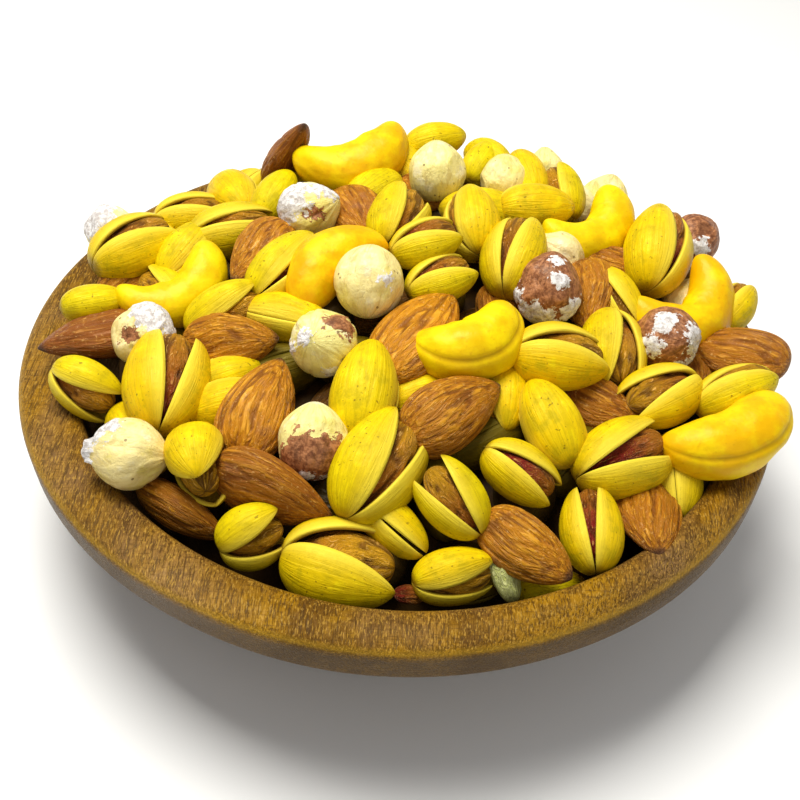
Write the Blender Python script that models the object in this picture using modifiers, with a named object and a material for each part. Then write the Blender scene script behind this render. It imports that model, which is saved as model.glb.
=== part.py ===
"""Bowl of trail mix: a carved wooden bowl heaped with pistachios, almonds, cashews and hazelnuts.

Metres, +Z up. The origin is the centre of the bowl's flat base, and the bowl's front is -Y.
The heap is one solid: a core that fills the hollow, with the nuts that show fused onto it.
"""
import math
import random

import bmesh
import bpy
from mathutils import Vector

MM = 0.001

# Bowl, in millimetres
RIM_RADIUS = 80.0          # the outer ridge of the rim
RIM_HEIGHT = 38.0          # the top of the rim above the table
RIM_CROWN_RADIUS = 74.5    # where the rim's top is highest
RIM_SAG = 0.9              # how far the rim's top drops towards the hollow
RIDGE_ROUND = 2.5          # rounding between the rim's top and the outer lip
LIP_HEIGHT = 8.5           # the nearly upright outer lip
LIP_LEAN = 1.3             # how far the lip leans in on its way down
BASE_RADIUS = 44.0
HOLLOW_RADIUS = 69.5
HOLLOW_FLOOR = 10.0
HOLLOW_POWER = 2.6         # above 2 the hollow has steep walls and a flat floor
HOLLOW_SHIFT = 1.5         # the hollow is carved this far off centre, to the right
EDGE_CHAMFER = 1.4         # at the hollow's edge
BOWL_SIDES = 48

# Heap, in millimetres
HEAP_EDGE = 2.7            # height of the nuts' centres above the rim, at the heap's edge
HEAP_CROWN = 13.3          # and how much higher they are in the middle
HEAP_LEAN = 8.0            # the heap is this much higher at the back edge, and lower in front
HEAP_RADIUS = 68.0
CORE_DEPTH = 3.2           # the core lies this far under the middles of the nuts on it
CORE_EDGE_DROP = 6.5       # and this much further at the heap's edge
CORE_BLEND = 3.0           # evens out the core between one nut and the next
CORE_RADIUS = 66.0
CORE_SIDES = 24
CORE_RINGS = 6
FAR_BACK = 8.0             # pistachios further back than this have fewer sides
FIT_GAP = 0.45             # between the heap and the bowl
FLUSH_ANGLE = 2.0          # facets that meet at less than this become one
FILL_RADIUS = 65.0         # filling nuts stay inside this
FILL_REACH = 11.5          # a filling nut keeps this far from every other nut's middle
FILL_SINK = 3.0            # and lies this much lower than the nuts that show
FILL_WALL = 56.0           # further out than this it lies along the bowl's wall
FILL_SWING = 0.1           # and swings from that by this share of its own heading
SKIRT_RADIUS = 64.0        # a row of nuts lies against the rim, round the back and the sides
SKIRT_REACH = 7.6          # with this much room to the middles of the nuts above
SKIRT_STEP = 13.0          # in degrees
SKIRT_START = -25.0
SKIRT_NUTS = 18
FILL_LENGTH = 19.0         # of a filling pistachio or almond
FILL_HAZELNUT = 12.5       # diameter of a filling hazelnut
FILL_TRIES = 3000
FILL_SEED = 11

FACING = Vector((0.0, -0.74, 0.67))   # a nut with no turn shows its face this way

# Nuts that show, in millimetres: x to the right, y to the back, z above the rim.
# Hinge end, open end, turn of the split away from FACING and spread of the shells in degrees.
PISTACHIOS = (
    (-46, 50, 5.5, -37, 33, 9.5, 90, 0),
    (-34, 29, 10, -28, 44, 13.5, 90, 0),
    (-59, 32, 5, -42, 37, 7, -35, 16),
    (-49, 21.5, 8, -30, 28, 11, -20, 12),
    (-68, 11, 7, -53, 26, 9, -30, 20),
    (-46, 3, 3, -58, 12, 5, 0, 24),
    (-71, -5, 8, -58, 1, 7, 90, 0),
    (-68, -22, 7, -55, -27, 1, 25, 34),
    (-45, -36, 4, -45, -13, 10, 20, 22),
    (-44, -9, 7, -29, -2, 13, 25, 20),
    (-41, -23, 4, -27, -17, 6, 90, 0),
    (-40, -30, 4, -24, -25, 6, 90, 0),
    (-38, -36, 4, -33, -51, 4, 90, 38),
    (-30.5, -57, -3.5, -18.5, -53, -0.5, 25, 38),
    (-7, -38, 7, -5, -16, 13, 75, 4),
    (-31, -3, 12, -19, 14, 16, 15, 10),
    (-5, 14, 15, 1, 32, 18, 20, 26),
    (-3, 8, 17, 11, 14, 21, -42, 24),
    (1, -1, 14, 14, 7, 17, -42, 28),
    (16, 13, 15, 12, 32, 19, -50, 14),
    (20, 32, 15, 38, 36, 14, 90, 0),
    (21, 1, 14, 25, 21, 20, -25, 16),
    (53, 12, 9, 59, 34, 16, 25, 15),
    (69, 6, 5, 76, 18, 8, -40, 14),
    (42, 14, 12, 49, -1, 9, 10, 8),
    (22, -16, 12, 42, -13, 10, -42, 20),
    (43, 2, 10, 45, -17, 6, -30, 24),
    (60, -20, 4, 76, -13, 9, -60, 10),
    (61, -13, 5, 45, -23, 6, 35, 24),
    (34, -38, 3, 26, -21, 9, 100, 0),
    (22, -14, 7, 21, -30, 4, 60, 8),
    (-2, -27, 6, 12, -21, 8, 90, 0),
    (-8, -53, 2, 3, -33, 9, 20, 22),
    (17, -53, 0, 6, -44, 8, 0, 28),
    (17, -38, 5, 31, -44, 1, -25, 20),
    (35, -40, 3, 53, -29, 4, -15, 26),
    (38, -58, -3, 37, -41, 2, -10, 15),
    (5, -61, -5, 20, -57, -5, 25, 22),
    (-19, -58, -4, 3, -59, -4, -48, 34),
    (-5, -47, 1, 7, -56, -3, 0, 3),
    (24, -58, -11, 38, -54, -11, 90, 0),
    (-2, 60, 13, 13, 66, 14, 90, 0),
    (14, 64, 11, 24, 52, 13, 60, 10),
    (14, 48, 12, 20, 62, 14, 90, 0),
    (29, 38, 13, 25, 54, 17, 90, 0),
    (38, 36, 11, 33, 50, 16, -25, 20),
)

# Broad end, pointed end, turn of the flat face away from FACING in degrees.
ALMONDS = (
    (-34, 54, 5, -25.3, 47.5, 24.5, 90),
    (-52, -2, 3, -73, -16, 6, 60),
    (-44, -13, 5, -24, -15, 12, 10),
    (-29, -41, 3, -23, -20, 11, 0),
    (-48, -42, -5, -30, -53, -5, 60),
    (-33, -43, 3, -10, -52, 1, 45),
    (-26, 20, 15, -36, 2, 12, 10),
    (-15, 35, 15, -7, 14, 15, -15),
    (-3, -24, 11, 10, -1, 15, -20),
    (39, 17, 12, 39, -4, 10, 30),
    (58, 4, 2, 62, -15, 2, 0),
    (80, -9, 8, 60, 2, 4, 35),
    (33, -16, 4, 49, -25, 3, 0),
    (2, -38, 8, 20, -24, 11, 5),
    (17, -50, 1, 33, -62, 0, 10),
    (48, -33, -3, 49.5, -55, -0.5, -10),
    (20, 10, 10, 21, -8, 9, 0),
    (-3, 46, 11, 8, 36, 12, 0),
)

# Centres of the two lobes, turn of the flat side, bulge to the left of the way, thickness.
CASHEWS = (
    (-23, 45, 16, -6, 53, 18, -20, -4.5, 11.8),
    (-43, 10, 11, -56, -1, 8, 0, 5.0, 10.2),
    (-19, -2, 15, -9, 9, 18, -15, 2.5, 11.4),
    (8, -18, 14, 19, -11, 15, -30, -3.0, 12.2),
    (34, 24, 14, 46, 36, 15, 0, -5.4, 10.4),
    (52, 2, 10, 66, 15, 12, 0, -7.3, 10.8),
    (57, -32, 5, 72, -24, 7, -30, -2.5, 12.4),
)

# Centre, diameter, and the way its point faces: heading from +X and rise in degrees.
HAZELNUTS = (
    (-22, 23, 17, 13.0, 0, 30),
    (-67, 25, 7, 11.6, 120, 40),
    (-52, -13, 8, 12.8, 60, 50),
    (-49, -43, 5, 13.5, 0, 0),
    (-15, -39, 7, 13.5, 90, 50),
    (-15, -17, 13, 13.6, 250, 40),
    (-7, -3, 18, 14.6, 90, 40),
    (6, 42, 17, 13.4, 100, 60),
    (66, 34, 8, 12.4, 40, 20),
    (30, 2, 15, 14.1, 80, 50),
    (55, -4, 9, 13.7, 300, 30),
    (22, 44, 15, 11.6, 90, 60),
    (32.4, 57, 10, 11.0, 90, 50),
    (47.8, 53.8, 5.5, 11.6, 60, 50),
)


def heap_height(x, y):
    """Height above the rim of the nuts' centres, over the plan point x, y, in millimetres."""
    spread = (x * x + y * y) / HEAP_RADIUS ** 2
    return HEAP_EDGE + HEAP_CROWN * (1.0 - spread) + HEAP_LEAN * y / HEAP_RADIUS


def clear_scene():
    """Remove whatever objects the file opened with."""
    for old in list(bpy.data.objects):
        bpy.data.objects.remove(old, do_unlink=True)


def new_collection(name):
    """A collection linked to the scene."""
    group = bpy.data.collections.new(name)
    bpy.context.scene.collection.children.link(group)
    return group


def finish(name, color, roughness):
    """A Principled material in one colour."""
    material = bpy.data.materials.new(name)
    material.use_nodes = True
    shader = material.node_tree.nodes["Principled BSDF"]
    shader.inputs["Base Color"].default_value = (*color, 1.0)
    shader.inputs["Roughness"].default_value = roughness
    shader.inputs["Metallic"].default_value = 0.0
    return material


def arc(center, radius, start, end, steps):
    """Points on a round, from one angle to another in degrees."""
    angles = [math.radians(start + (end - start) * i / steps) for i in range(steps + 1)]
    return [(center[0] + radius * math.cos(a), center[1] + radius * math.sin(a)) for a in angles]


def turned(name, profile, sides, group, shift=0.0):
    """Turn a profile of (radius, height) points about the upright axis, shifted along +X."""
    mesh = bpy.data.meshes.new(name)
    points = [(radius * MM, 0.0, height * MM) for radius, height in profile]
    mesh.from_pydata(points, [(i, i + 1) for i in range(len(points) - 1)], [])
    piece = bpy.data.objects.new(name, mesh)
    group.objects.link(piece)
    screw = piece.modifiers.new("Turn", "SCREW")
    screw.steps = sides
    screw.render_steps = sides
    screw.use_merge_vertices = True
    screw.merge_threshold = 0.00001
    screw.use_smooth_shade = False
    piece.location.x = shift * MM
    return piece


def blank_profile(grow):
    """The bowl before it is hollowed, from the middle of its top round the lip to the base."""
    ridge_centre = (RIM_RADIUS - RIDGE_ROUND, RIM_HEIGHT - RIDGE_ROUND)
    lip_radius = RIM_RADIUS - LIP_LEAN
    lip_foot = RIM_HEIGHT - LIP_HEIGHT
    profile = [(0.0, RIM_HEIGHT - RIM_SAG + grow)]
    profile += [(HOLLOW_RADIUS - 3.0, RIM_HEIGHT - RIM_SAG + grow)]
    profile += [(RIM_CROWN_RADIUS, RIM_HEIGHT + grow)]
    profile += arc(ridge_centre, RIDGE_ROUND + grow, 84.0, 0.0, 3)
    profile += arc((lip_radius - 1.5, lip_foot + 1.5), 1.5 + grow, -5.0, -49.0, 2)
    profile += [(BASE_RADIUS + grow, -grow), (0.0, -grow)]
    return profile


def hollow_profile(grow):
    """The hollow as a solid: straight up from its edge, and a flat floor with round corners."""
    rim_level = RIM_HEIGHT - RIM_SAG
    radius = HOLLOW_RADIUS + grow
    depth = rim_level - EDGE_CHAMFER - HOLLOW_FLOOR + grow
    top = RIM_HEIGHT + 10.0
    flare = radius + EDGE_CHAMFER
    profile = [(0.0, top), (flare + 2.0, top), (flare + 2.0, RIM_HEIGHT + 0.6), (flare, rim_level)]
    steps = 8
    for i in range(steps + 1):
        angle = math.radians(90.0 * i / steps)
        out = radius * math.cos(angle) ** (2.0 / HOLLOW_POWER)
        drop = depth * math.sin(angle) ** (2.0 / HOLLOW_POWER)
        profile.append((max(out, 0.0), rim_level - EDGE_CHAMFER - drop))
    profile[-1] = (0.0, profile[-1][1])
    return profile


def boolean(piece, name, operation, other=None, collection=None):
    """Add a Boolean with one object or with a collection."""
    cut = piece.modifiers.new(name, "BOOLEAN")
    cut.operation = operation
    cut.solver = "MANIFOLD"
    if collection is not None:
        cut.operand_type = "COLLECTION"
        cut.collection = collection
    else:
        cut.object = other
    return cut


def guide(piece):
    """Mark an object as a cutter, which isn't part of the model."""
    piece.hide_render = True
    piece.display_type = "WIRE"
    return piece


def applied(piece, name, group):
    """Copy of a piece with its modifiers and place worked into its mesh; the piece is removed."""
    graph = bpy.context.evaluated_depsgraph_get()
    graph.update()
    mesh = bpy.data.meshes.new_from_object(piece.evaluated_get(graph))
    mesh.transform(piece.matrix_world)
    bpy.data.objects.remove(piece, do_unlink=True)
    result = bpy.data.objects.new(name, mesh)
    group.objects.link(result)
    return result


def make_bowl(model, cutters):
    """Turned blank with an off-centre hollow."""
    bowl = turned("bowl", blank_profile(0.0), BOWL_SIDES, model)
    hollow = guide(turned("hollow_cutter", hollow_profile(0.0), BOWL_SIDES, cutters, HOLLOW_SHIFT))
    boolean(bowl, "Hollow", "DIFFERENCE", other=hollow)
    bowl.data.materials.append(finish("oiled_wood", (0.30, 0.17, 0.055), 0.45))
    return bowl


def core_height(x, y, nuts):
    """Height above the rim of the core's top at x, y: it lies under the nearest nuts."""
    nearest = sorted((math.hypot(x - nut[0], y - nut[1]), nut[2]) for nut in nuts)[:3]
    weights = [1.0 / (distance + CORE_BLEND) ** 2 for distance, _ in nearest]
    middle = sum(weight * near[1] for weight, near in zip(weights, nearest)) / sum(weights)
    share = math.hypot(x - HOLLOW_SHIFT, y) / CORE_RADIUS
    return middle - CORE_DEPTH - CORE_EDGE_DROP * share ** 7


def make_core(group, nuts):
    """The heap's core: it fills the hollow, and its top follows the nuts that lie on it."""
    wall_foot = RIM_HEIGHT - 17.0
    profile = [(CORE_RADIUS * i / CORE_RINGS, RIM_HEIGHT) for i in range(CORE_RINGS + 1)]
    profile += [(CORE_RADIUS - 2.0, wall_foot)]
    profile += [(r, h + 0.6) for r, h in hollow_profile(-0.6) if h < wall_foot - 1.0]
    core = applied(turned("core_blank", profile, CORE_SIDES, group, HOLLOW_SHIFT), "core", group)
    for vertex in core.data.vertices:
        if vertex.co.z > (wall_foot + 1.0) * MM:
            vertex.co.z += core_height(vertex.co.x / MM, vertex.co.y / MM, nuts) * MM
    facets = bmesh.new()
    facets.from_mesh(core.data)
    bmesh.ops.triangulate(facets, faces=facets.faces)
    facets.to_mesh(core.data)
    facets.free()
    return core


def unit_sphere(around, along):
    """Points and mesh of a round body whose poles lie on X, from a UV sphere."""
    shape = bmesh.new()
    bmesh.ops.create_uvsphere(shape, u_segments=around, v_segments=along, radius=1.0)
    for vertex in shape.verts:
        x, y, z = vertex.co
        vertex.co = (z, y, -x)
    bmesh.ops.recalc_face_normals(shape, faces=shape.faces)
    return shape


def nut_frame(start, end, turn):
    """Axes of a nut: along it, to its left, and out of its face, turned about its length."""
    along = (end - start).normalized()
    face = (FACING - along * FACING.dot(along)).normalized()
    left = face.cross(along)
    angle = math.radians(turn)
    turned_face = face * math.cos(angle) - left * math.sin(angle)
    turned_left = left * math.cos(angle) + face * math.sin(angle)
    return along, turned_left, turned_face


def place_nut(name, shape, center, frame, group):
    """Make an object of a shape whose points are millimetres along the nut's own axes."""
    along, left, face = frame
    for vertex in shape.verts:
        x, y, z = vertex.co
        vertex.co = (center + along * x + left * y + face * z) * MM
    bmesh.ops.triangulate(shape, faces=shape.faces)
    mesh = bpy.data.meshes.new(name)
    shape.to_mesh(mesh)
    shape.free()
    nut = bpy.data.objects.new(name, mesh)
    group.objects.link(nut)
    return nut


def above_rim(x, y, z):
    """A place in the tables, as millimetres above the table top."""
    return Vector((x, y, RIM_HEIGHT + z))


def make_pistachio(name, row, group, around=8, rings=5):
    """Egg-shaped shell, split along both seams, its halves spread towards the open end."""
    start, end = above_rim(*row[0:3]), above_rim(*row[3:6])
    turn, spread = row[6:8]
    length = (end - start).length
    width, height = 0.27 * length, 0.29 * length
    slope = math.tan(math.radians(spread / 2.0))
    shape = unit_sphere(around, rings)
    for vertex in shape.verts:
        x, y, z = vertex.co
        egg = 1.0 - 0.10 * x
        opening = (x + 1.0) * length / 2.0 * slope
        seam = abs(z) > 0.5 and abs(y) < 0.05
        if seam:
            sink = 0.94 - 0.25 * min(spread / 30.0, 1.0) * (x + 1.0) / 2.0
            vertex.co = (x * length / 2.0 * 0.94, 0.0, z * height * egg * sink)
        else:
            side = math.copysign(1.0, y) if abs(y) > 0.01 else 0.0
            vertex.co = (x * length / 2.0, y * width * egg + side * opening * 0.8, z * height * egg)
    return place_nut(name, shape, (start + end) / 2.0, nut_frame(start, end, turn), group)


def make_almond(name, row, group, around=8, rings=5):
    """Flattened drop, broad at the start and pointed at the end."""
    start, end = above_rim(*row[0:3]), above_rim(*row[3:6])
    length = (end - start).length
    shape = unit_sphere(around, rings)
    for vertex in shape.verts:
        x, y, z = vertex.co
        drop = 1.0 - 0.26 * x
        vertex.co = (x * length / 2.0, y * 0.285 * length * drop, z * 0.170 * length * drop)
    return place_nut(name, shape, (start + end) / 2.0, nut_frame(start, end, row[6]), group)


def make_cashew(name, row, group, around=8, rings=7):
    """A round bar with full ends, bent in the plane of its flat side."""
    start, end = above_rim(*row[0:3]), above_rim(*row[3:6])
    turn, bulge, thickness = row[6:9]
    radius = thickness / 2.0
    chord = (end - start).length
    reach = chord / 2.0 + radius
    shape = unit_sphere(around, rings)
    for vertex in shape.verts:
        x, y, z = vertex.co
        girth = math.hypot(y, z)
        full = (1.0 - abs(x) ** 2.8) ** 0.5 if abs(x) < 1.0 else 0.0
        scale = radius * full / girth if girth > 1e-6 else 0.0
        s = x * reach
        bow = bulge * (1.0 - (s / (chord / 2.0 + 0.5 * radius)) ** 2)
        lean = math.atan(-2.0 * bulge * s / (chord / 2.0 + 0.5 * radius) ** 2)
        across = y * scale
        vertex.co = (s - across * math.sin(lean), bow + across * math.cos(lean), z * scale * 0.92)
    return place_nut(name, shape, (start + end) / 2.0, nut_frame(start, end, turn), group)


def make_hazelnut(name, row, group, around=8, rings=5):
    """A ball drawn out to a small point."""
    radius = row[3] / 2.0
    heading, rise = math.radians(row[4]), math.radians(row[5])
    point = Vector((math.cos(heading) * math.cos(rise), math.sin(heading) * math.cos(rise), math.sin(rise)))
    center = above_rim(*row[0:3])
    shape = unit_sphere(around, rings)
    for vertex in shape.verts:
        x, y, z = vertex.co
        vertex.co = (x * radius * (1.08 if x > 0.99 else 1.0), y * radius, z * radius)
    return place_nut(name, shape, center, nut_frame(center, center + point, 0.0), group)


def nut_middles():
    """Middle of each nut in the tables, in millimetres, z above the rim."""
    middles = [((r[0] + r[3]) / 2.0, (r[1] + r[4]) / 2.0, (r[2] + r[5]) / 2.0)
               for r in PISTACHIOS + ALMONDS + CASHEWS]
    return middles + [r[0:3] for r in HAZELNUTS]


def filling_nuts():
    """Nuts that fill the gaps and lie against the rim at the back, where no other nut is close.

    Each is (pick, x, y, z, heading, turn): pick chooses the kind of nut.
    """
    draw = random.Random(FILL_SEED)
    taken = nut_middles()
    places = []
    for i in range(SKIRT_NUTS):
        bearing = math.radians(SKIRT_START + SKIRT_STEP * i)
        x, y = SKIRT_RADIUS * math.cos(bearing) + HOLLOW_SHIFT, SKIRT_RADIUS * math.sin(bearing)
        level = 2.0 + 2.5 * max(math.sin(bearing), 0.0)
        places.append((x, y, level, bearing + math.radians(90.0 + 25.0 * (-1) ** i), SKIRT_REACH))
    for _ in range(FILL_TRIES):
        radius = FILL_RADIUS * math.sqrt(draw.random())
        bearing = draw.uniform(0.0, 2.0 * math.pi)
        x, y = radius * math.cos(bearing), radius * math.sin(bearing)
        heading = draw.uniform(0.0, 2.0 * math.pi)
        if radius > FILL_WALL:
            heading = bearing + math.radians(90.0) + FILL_SWING * heading
        places.append((x, y, heap_height(x, y) - FILL_SINK, heading, FILL_REACH))
    rows = []
    for x, y, z, heading, reach in places:
        if min(math.dist((x, y, z), other) for other in taken) < reach:
            continue
        taken.append((x, y, z))
        rows.append((draw.random(), x, y, z, heading, draw.uniform(-180.0, 180.0)))
    return rows


def make_filling(rows, group):
    """Low-sided pistachios and almonds, and a few hazelnuts, in the places left."""
    half = FILL_LENGTH / 2.0
    for number, (pick, x, y, z, heading, turn) in enumerate(rows):
        name = f"fill_{number}"
        dx, dy = half * math.cos(heading), half * math.sin(heading)
        dip = (heap_height(x + dx, y + dy) - heap_height(x - dx, y - dy)) / 2.0
        ends = (x - dx, y - dy, z - dip, x + dx, y + dy, z + dip, turn)
        if pick < 0.6:
            make_pistachio(name, (*ends, 0.0), group, around=6, rings=4)
        elif pick < 0.85:
            make_almond(name, ends, group, around=6, rings=4)
        else:
            row = (x, y, z, FILL_HAZELNUT, math.degrees(heading), 30.0)
            make_hazelnut(name, row, group, around=6, rings=4)


def keep_largest_body(piece):
    """Drop loose scraps and the walls of sealed hollows, and merge facets that are flush."""
    shape = bmesh.new()
    shape.from_mesh(piece.data)
    unseen = set(shape.verts)
    bodies = []
    while unseen:
        body = set()
        front = [unseen.pop()]
        while front:
            vertex = front.pop()
            body.add(vertex)
            for edge in vertex.link_edges:
                other = edge.other_vert(vertex)
                if other in unseen:
                    unseen.remove(other)
                    front.append(other)
        bodies.append(body)
    bodies.sort(key=len, reverse=True)
    scraps = [vertex for body in bodies[1:] for vertex in body]
    bmesh.ops.delete(shape, geom=scraps, context="VERTS")
    flush = math.radians(FLUSH_ANGLE)
    bmesh.ops.dissolve_limit(shape, angle_limit=flush, verts=shape.verts, edges=shape.edges)
    bmesh.ops.triangulate(shape, faces=shape.faces)
    shape.to_mesh(piece.data)
    shape.free()


def make_heap(model, cutters):
    """Core and nuts joined by one union, then trimmed clear of the bowl."""
    filling = filling_nuts()
    core = make_core(cutters, nut_middles() + [row[1:4] for row in filling])
    nuts = new_collection("nuts_to_join")
    for number, row in enumerate(PISTACHIOS):
        make_pistachio(f"pistachio_{number}", row, nuts, rings=4 if row[1] > FAR_BACK else 5)
    for number, row in enumerate(ALMONDS):
        make_almond(f"almond_{number}", row, nuts)
    for number, row in enumerate(CASHEWS):
        make_cashew(f"cashew_{number}", row, nuts)
    for number, row in enumerate(HAZELNUTS):
        make_hazelnut(f"hazelnut_{number}", row, nuts)
    make_filling(filling, nuts)

    keep_out = turned("keep_out_blank", blank_profile(FIT_GAP), BOWL_SIDES, cutters)
    keep_out_hollow = turned("keep_out_hollow", hollow_profile(-FIT_GAP), BOWL_SIDES, cutters, HOLLOW_SHIFT)
    boolean(keep_out, "Hollow", "DIFFERENCE", other=guide(keep_out_hollow))
    guide(keep_out)

    boolean(core, "Join nuts", "UNION", collection=nuts)
    boolean(core, "Clear the bowl", "DIFFERENCE", other=keep_out)
    heap = applied(core, "nut_heap", model)
    for nut in list(nuts.objects):
        bpy.data.objects.remove(nut, do_unlink=True)
    bpy.data.collections.remove(nuts)
    keep_largest_body(heap)
    heap.data.materials.clear()
    heap.data.materials.append(finish("saffron_nuts", (0.80, 0.60, 0.02), 0.45))
    return heap


def main():
    """Build the bowl and its heap."""
    clear_scene()
    model = new_collection("bowl_of_trail_mix")
    cutters = new_collection("cutters")
    make_bowl(model, cutters)
    make_heap(model, cutters)


main()
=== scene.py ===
import math
import random

import bpy
import numpy as np
from mathutils import Matrix, Vector


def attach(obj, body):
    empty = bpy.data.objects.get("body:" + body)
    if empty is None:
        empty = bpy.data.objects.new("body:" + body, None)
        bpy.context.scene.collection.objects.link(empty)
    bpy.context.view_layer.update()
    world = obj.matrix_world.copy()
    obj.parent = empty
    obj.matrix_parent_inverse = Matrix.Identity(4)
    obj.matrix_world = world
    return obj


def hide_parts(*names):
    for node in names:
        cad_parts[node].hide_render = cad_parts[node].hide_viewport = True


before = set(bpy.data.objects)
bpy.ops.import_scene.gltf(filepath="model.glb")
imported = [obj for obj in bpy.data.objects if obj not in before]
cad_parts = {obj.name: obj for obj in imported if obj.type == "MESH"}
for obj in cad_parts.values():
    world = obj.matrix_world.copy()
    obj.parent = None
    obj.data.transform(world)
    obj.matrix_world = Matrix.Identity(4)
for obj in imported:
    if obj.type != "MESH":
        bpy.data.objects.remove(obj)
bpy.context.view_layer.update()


# The studio: a pale table, one broad soft lamp above and behind to the left, a weaker one in
# front, and even light all round. The camera looks down on the bowl from the front.
table_mesh = bpy.data.meshes.new("table_top")
table_mesh.from_pydata([(-4, -4, 0), (4, -4, 0), (4, 4, 0), (-4, 4, 0)], [], [(0, 1, 2, 3)])
table_top = bpy.data.objects.new("table_top", table_mesh)
bpy.context.scene.collection.objects.link(table_top)
table_paint = bpy.data.materials.new("table_paint")
table_paint.use_nodes = True
table_shader = table_paint.node_tree.nodes["Principled BSDF"]
table_shader.inputs["Base Color"].default_value = (0.92, 0.92, 0.91, 1.0)
table_shader.inputs["Roughness"].default_value = 0.7
table_mesh.materials.append(table_paint)


def soft_lamp(name, place, aim, width, power, tint):
    """A square lamp of the given width in metres, turned towards aim."""
    data = bpy.data.lights.new(name, "AREA")
    data.shape = "SQUARE"
    data.size = width
    data.energy = power
    data.color = tint
    lamp = bpy.data.objects.new(name, data)
    lamp.location = place
    lamp.rotation_euler = (Vector(aim) - Vector(place)).to_track_quat("-Z", "Y").to_euler()
    bpy.context.scene.collection.objects.link(lamp)


soft_lamp("lamp_above", (-0.12, 0.09, 0.60), (0.0, 0.0, 0.04), 0.34, 4.9, (1.0, 0.98, 0.93))
soft_lamp("lamp_front", (0.25, -0.60, 0.50), (0.0, 0.0, 0.03), 0.50, 0.6, (1.0, 0.99, 0.98))
studio_air = bpy.data.worlds.new("studio_air")
studio_air.use_nodes = True
studio_air.node_tree.nodes["Background"].inputs["Color"].default_value = (1.0, 1.0, 1.0, 1.0)
studio_air.node_tree.nodes["Background"].inputs["Strength"].default_value = 0.30
bpy.context.scene.world = studio_air
bpy.context.scene.view_settings.view_transform = "Standard"

camera_data = bpy.data.cameras.new("camera")
camera_data.sensor_width = 36.0
camera_data.lens = 52.92
camera_data.clip_start = 0.01
camera = bpy.data.objects.new("camera", camera_data)
camera_aim = Vector((0.00072, -0.018, 0.038))
camera_tilt, camera_roll = math.radians(42.3), math.radians(3.56)
camera_back = Vector((0.0, -math.cos(camera_tilt), math.sin(camera_tilt)))
camera_up = camera_back.cross(Vector((1.0, 0.0, 0.0)))
camera_right = Vector((1.0, 0.0, 0.0)) * math.cos(camera_roll) + camera_up * math.sin(camera_roll)
camera_up = camera_back.cross(camera_right)
camera_turn = Matrix((camera_right, camera_up, camera_back)).transposed().to_4x4()
camera.matrix_world = Matrix.Translation(camera_aim + camera_back * 0.24) @ camera_turn
bpy.context.scene.collection.objects.link(camera)
bpy.context.scene.camera = camera


# The bowl: one piece of a coarse brown hardwood, carved and turned, with a straight sloping wall,
# an upright lip and a broad rim. It is oiled, and the fibres run from front to back.
MM = 0.001


def closed_grid(rings, columns, first=None, last=None):
    """Vertices and triangles of a grid wrapped round, whose end rings are drawn together.

    first and last say which column each column of the end ring merges into, one pole if left out.
    Returns the grid places that are kept, and triangles that number those places.
    """
    number = np.arange(rings * columns).reshape(rings, columns)
    number[0] = number[0][np.zeros(columns, int) if first is None else first]
    number[-1] = number[-1][np.zeros(columns, int) if last is None else last]
    kept, number = np.unique(number, return_inverse=True)
    number = number.reshape(rings, columns)
    near, far = number[:-1], number[1:]
    near_next, far_next = np.roll(near, -1, 1), np.roll(far, -1, 1)
    halves = [np.stack([near, near_next, far_next], -1), np.stack([near, far_next, far], -1)]
    triangles = np.concatenate([half.reshape(-1, 3) for half in halves])
    a, b, c = triangles.T
    return kept, triangles[(a != b) & (b != c) & (c != a)]


def make_piece(name, points, triangles, values):
    """One smooth mesh of several like bodies.

    points is bodies x vertices x 3 in metres, triangles numbers one body's vertices, and values
    holds what the material reads: bodies x vertices, or bodies x vertices x 3. A body whose
    volume, the sum of a . (b x c) / 6 over its triangles, is negative has its triangles turned.
    """
    bodies, count = points.shape[:2]
    a, b, c = (points[:, triangles[:, i]] for i in range(3))
    volume = np.einsum("nij,nij->n", a, np.cross(b, c))
    numbered = np.repeat(triangles[None], bodies, 0)
    numbered[volume < 0] = numbered[volume < 0][:, :, ::-1]
    numbered = (numbered + (np.arange(bodies) * count)[:, None, None]).reshape(-1, 3)
    mesh = bpy.data.meshes.new(name)
    mesh.vertices.add(bodies * count)
    mesh.vertices.foreach_set("co", points.reshape(-1).astype(np.float32))
    mesh.loops.add(numbered.size)
    mesh.loops.foreach_set("vertex_index", numbered.reshape(-1).astype(np.int32))
    mesh.polygons.add(len(numbered))
    mesh.polygons.foreach_set("loop_start", np.arange(0, numbered.size, 3, dtype=np.int32))
    mesh.polygons.foreach_set("loop_total", np.full(len(numbered), 3, np.int32))
    mesh.update(calc_edges=True)
    mesh.polygons.foreach_set("use_smooth", np.ones(len(numbered), bool))
    for key, value in values.items():
        if value.ndim == 3:
            mesh.attributes.new(key, "FLOAT_VECTOR", "POINT").data.foreach_set(
                "vector", value.reshape(-1).astype(np.float32))
        else:
            mesh.attributes.new(key, "FLOAT", "POINT").data.foreach_set(
                "value", np.broadcast_to(value, (bodies, count)).reshape(-1).astype(np.float32))
    piece = bpy.data.objects.new(name, mesh)
    bpy.context.scene.collection.objects.link(piece)
    return piece


def joined(x, y, z):
    """x, y and z, spread to one shape, as the last axis of one array."""
    return np.stack(np.broadcast_arrays(x, y, z), -1)


def soft_noise(places, seed):
    """Smooth noise from -1 to 1: random values on a unit grid, blended by 3t^2 - 2t^3."""
    table = np.random.default_rng(seed).uniform(-1.0, 1.0, (32, 32, 32))
    cell = np.floor(places).astype(int)
    share = places - cell
    share = share * share * (3.0 - 2.0 * share)
    total = np.zeros(places.shape[:-1])
    for corner in np.ndindex(2, 2, 2):
        step = np.array(corner)
        weight = np.prod(np.where(step == 1, share, 1.0 - share), -1)
        i, j, k = np.moveaxis((cell + step) % 32, -1, 0)
        total += weight * table[i, j, k]
    return total


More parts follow.
